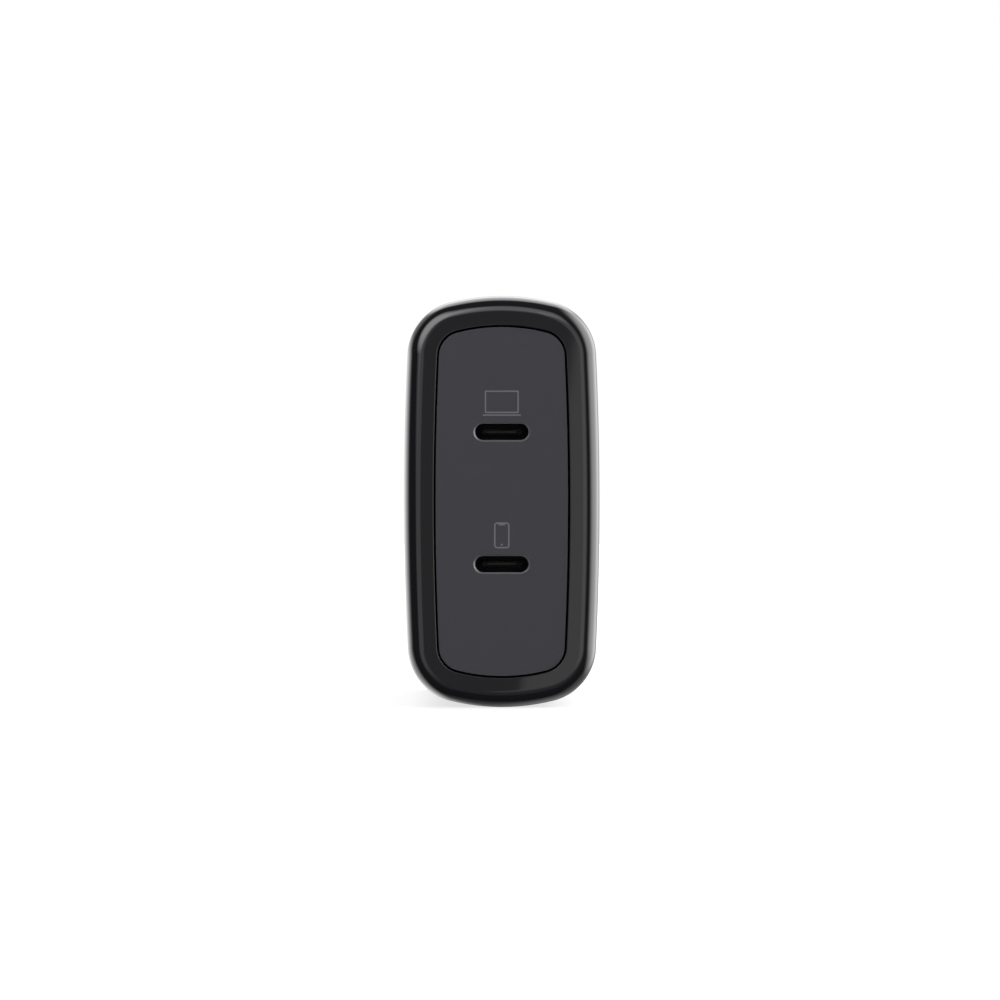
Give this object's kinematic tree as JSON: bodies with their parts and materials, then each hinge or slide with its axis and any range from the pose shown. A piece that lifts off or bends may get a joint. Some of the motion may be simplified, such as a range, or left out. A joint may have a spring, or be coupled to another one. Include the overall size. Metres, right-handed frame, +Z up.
{
  "type": "usb wall charger",
  "caption": "Slim upright wall charger with USB-C sockets in a matt front panel and a fold-away plug at the rear.",
  "frame": {"origin": "centre of the flat rear face that lies against the outlet", "axes": "+Y out of the rear face towards the outlet, +Z up the long side, +X across the narrow width; the ports face -Y"},
  "size_m": [0.0318, 0.064, 0.0666],
  "materials": {
    "shell_plastic": "moulded PC/ABS with a glossy bezel and fine satin sides",
    "cover_plastic": "moulded PC/ABS, fine matt texture",
    "panel_plastic": "moulded PC/ABS, even matt texture",
    "printed_ink": "pad-printed ink",
    "adhesive_tape": "double-sided acrylic tape",
    "carrier_plastic": "moulded glass-filled nylon",
    "blade_metal": "nickel-plated brass, stamped and polished",
    "spring_metal": "phosphor bronze strip",
    "steel": "plain steel",
    "shell_steel": "drawn stainless steel, black nickel",
    "gold_contacts": "gold-plated copper alloy",
    "insulator_plastic": "liquid crystal polymer",
    "wire_blue": "PVC insulation",
    "wire_brown": "PVC insulation",
    "circuit_board": "glass-epoxy laminate with solder mask",
    "ferrite": "sintered ferrite",
    "copper_winding": "enamelled copper wire",
    "bobbin_plastic": "moulded phenolic",
    "polyester_tape": "yellow polyester tape",
    "capacitor_can": "aluminium can in a printed-blank sleeve",
    "polymer_can": "bare aluminium can",
    "seal_rubber": "butyl rubber",
    "film_capacitor": "epoxy-filled plastic box",
    "ceramic_blue": "epoxy-dipped ceramic",
    "fuse_body": "moulded plastic",
    "ceramic_green": "silicone-coated ceramic",
    "chip_plastic": "moulded epoxy",
    "thermal_silicone": "filled silicone pad",
    "aluminium": "rolled aluminium sheet",
    "clear_film": "polyester film"
  },
  "bodies": {
    "root": {"housing_shell": "shell_plastic", "front_panel": "panel_plastic", "panel_adhesive": "adhesive_tape", "rear_cover": "cover_plastic", "laptop_icon": "printed_ink", "phone_icon": "printed_ink", "carrier_retainer": "bobbin_plastic", "retainer_screws": "steel", "detent_spring": "steel", "contact_spring_left": "spring_metal", "contact_spring_right": "spring_metal", "input_lead_left": "wire_blue", "input_lead_right": "wire_brown", "port_board": "circuit_board", "usb_c_shell_upper": "shell_steel", "usb_c_shell_lower": "shell_steel", "usb_c_tongue_upper": "insulator_plastic", "usb_c_tongue_lower": "insulator_plastic", "usb_c_contacts_upper": "gold_contacts", "usb_c_contacts_lower": "gold_contacts", "port_controllers": "chip_plastic", "board_header": "insulator_plastic", "header_pins": "gold_contacts", "main_board": "circuit_board", "transformer_core_upper": "ferrite", "transformer_core_lower": "ferrite", "transformer_bobbin": "bobbin_plastic", "transformer_winding": "copper_winding", "transformer_tape": "polyester_tape", "bulk_capacitors": "capacitor_can", "capacitor_seals": "seal_rubber", "output_capacitors": "polymer_can", "buck_inductors": "ferrite", "choke_core": "ferrite", "choke_winding_left": "copper_winding", "choke_winding_right": "copper_winding", "x_capacitor": "film_capacitor", "y_capacitor": "ceramic_blue", "input_fuse": "fuse_body", "inrush_thermistor": "ceramic_green", "optocoupler": "chip_plastic", "bridge_rectifier": "chip_plastic", "power_switch": "chip_plastic", "synchronous_rectifier": "chip_plastic", "power_controller": "chip_plastic", "thermal_pad": "thermal_silicone", "heat_spreader": "aluminium", "insulation_sleeve": "clear_film"},
    "plug": {"blade_carrier": "carrier_plastic", "blade_left": "blade_metal", "blade_right": "blade_metal"}
  },
  "joints": [
    {"name": "plug_fold", "type": "hinge", "parent": "root", "child": "plug", "pos_m": [0, -0.0038, 0.0085], "axis": [1, 0, 0], "range_deg": [0, 90]}
  ]
}
